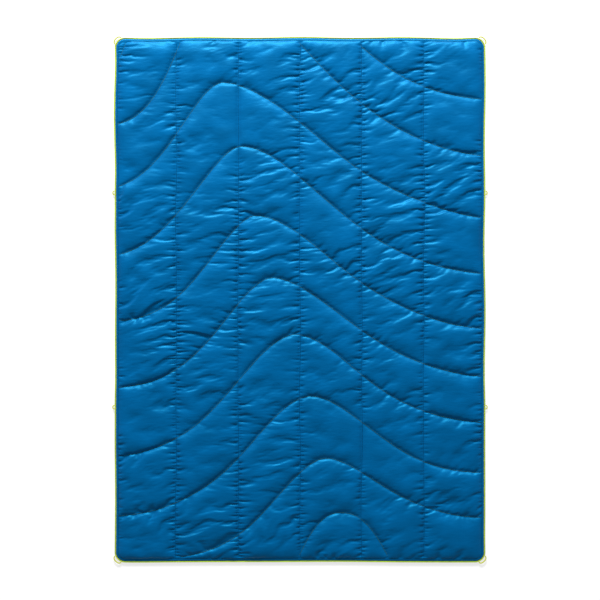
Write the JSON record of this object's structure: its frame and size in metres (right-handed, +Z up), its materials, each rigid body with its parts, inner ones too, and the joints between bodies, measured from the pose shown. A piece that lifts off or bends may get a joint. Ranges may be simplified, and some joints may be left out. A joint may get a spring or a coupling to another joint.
{
  "type": "camp blanket",
  "caption": "Quilted outdoor blanket laid flat: glossy nylon shells over synthetic batting, sewn in straight columns and curved contours, with piped edge and cord loops.",
  "frame": {"origin": "middle of the underside of the blanket laid flat, on the surface that it lies on", "axes": "+Z up, out of the face; +Y along the length, towards the head end; +X to the right seen from above"},
  "size_m": [1.2852, 1.8086, 0.021],
  "materials": {
    "shell_face": "glossy calendered nylon taffeta",
    "shell_back": "nylon taffeta, a little darker than the face",
    "filling": "synthetic fibre batting",
    "tape": "woven tape",
    "piping": "bright yellow-green cord cover",
    "contour_thread": "polyester sewing thread",
    "blue_thread": "polyester sewing thread",
    "cord": "braided elastic cord"
  },
  "bodies": {
    "left_half": {"back_shell_left": "shell_back", "batting_left": "filling", "closing_seam_left": "blue_thread", "contour_stitch_01_left": "contour_thread", "contour_stitch_03_left": "contour_thread", "contour_stitch_04_left": "contour_thread", "contour_stitch_05_left": "contour_thread", "contour_stitch_06_left": "contour_thread", "contour_stitch_07_left": "contour_thread", "contour_stitch_08_left": "contour_thread", "contour_stitch_09_left": "contour_thread", "contour_stitch_10_left": "contour_thread", "edge_stitch_left": "blue_thread", "face_shell_left": "shell_face", "piping_left": "piping", "piping_tape_left": "tape", "column_stitch_1": "blue_thread", "column_stitch_2": "blue_thread", "column_stitch_3": "blue_thread"},
    "right_half": {"back_shell_right": "shell_back", "batting_right": "filling", "closing_seam_right": "blue_thread", "contour_stitch_02_right": "contour_thread", "contour_stitch_03_right": "contour_thread", "contour_stitch_04_right": "contour_thread", "contour_stitch_05_right": "contour_thread", "contour_stitch_06_right": "contour_thread", "contour_stitch_07_right": "contour_thread", "contour_stitch_08_right": "contour_thread", "contour_stitch_09_right": "contour_thread", "contour_stitch_10_right": "contour_thread", "contour_stitch_11_right": "contour_thread", "edge_stitch_right": "blue_thread", "face_shell_right": "shell_face", "piping_right": "piping", "piping_tape_right": "tape", "column_stitch_4": "blue_thread", "column_stitch_5": "blue_thread"},
    "corner_loop_head_right_body": {"corner_loop_head_right": "cord"},
    "corner_loop_head_left_body": {"corner_loop_head_left": "cord"},
    "corner_loop_foot_left_body": {"corner_loop_foot_left": "cord"},
    "corner_loop_foot_right_body": {"corner_loop_foot_right": "cord"},
    "side_loop_upper_right_body": {"side_loop_upper_right": "cord"},
    "side_loop_upper_left_body": {"side_loop_upper_left": "cord"},
    "side_loop_lower_left_body": {"side_loop_lower_left": "cord"},
    "side_loop_lower_right_body": {"side_loop_lower_right": "cord"}
  },
  "joints": [
    {"name": "fold_in_half", "type": "hinge", "parent": "left_half", "child": "right_half", "pos_m": [0, 0, 0.0213], "axis": [0, -1, 0], "range_deg": [0, 178]},
    {"name": "corner_loop_head_right_swing", "type": "hinge", "parent": "right_half", "child": "corner_loop_head_right_body", "pos_m": [0.6236, 0.8876, 0.006], "axis": [0.7071, -0.7071, 0], "range_deg": [-90, 90]},
    {"name": "corner_loop_head_left_swing", "type": "hinge", "parent": "left_half", "child": "corner_loop_head_left_body", "pos_m": [-0.6236, 0.8876, 0.006], "axis": [0.7071, 0.7071, 0], "range_deg": [-90, 90]},
    {"name": "corner_loop_foot_left_swing", "type": "hinge", "parent": "left_half", "child": "corner_loop_foot_left_body", "pos_m": [-0.6236, -0.8876, 0.006], "axis": [-0.7071, 0.7071, 0], "range_deg": [-90, 90]},
    {"name": "corner_loop_foot_right_swing", "type": "hinge", "parent": "right_half", "child": "corner_loop_foot_right_body", "pos_m": [0.6236, -0.8876, 0.006], "axis": [-0.7071, -0.7071, 0], "range_deg": [-90, 90]},
    {"name": "side_loop_upper_right_swing", "type": "hinge", "parent": "right_half", "child": "side_loop_upper_right_body", "pos_m": [0.6368, 0.367, 0.006], "axis": [0, -1, 0], "range_deg": [-90, 90]},
    {"name": "side_loop_upper_left_swing", "type": "hinge", "parent": "left_half", "child": "side_loop_upper_left_body", "pos_m": [-0.6368, 0.367, 0.006], "axis": [0, 1, 0], "range_deg": [-90, 90]},
    {"name": "side_loop_lower_left_swing", "type": "hinge", "parent": "left_half", "child": "side_loop_lower_left_body", "pos_m": [-0.6368, -0.367, 0.006], "axis": [0, 1, 0], "range_deg": [-90, 90]},
    {"name": "side_loop_lower_right_swing", "type": "hinge", "parent": "right_half", "child": "side_loop_lower_right_body", "pos_m": [0.6368, -0.367, 0.006], "axis": [0, -1, 0], "range_deg": [-90, 90]}
  ]
}
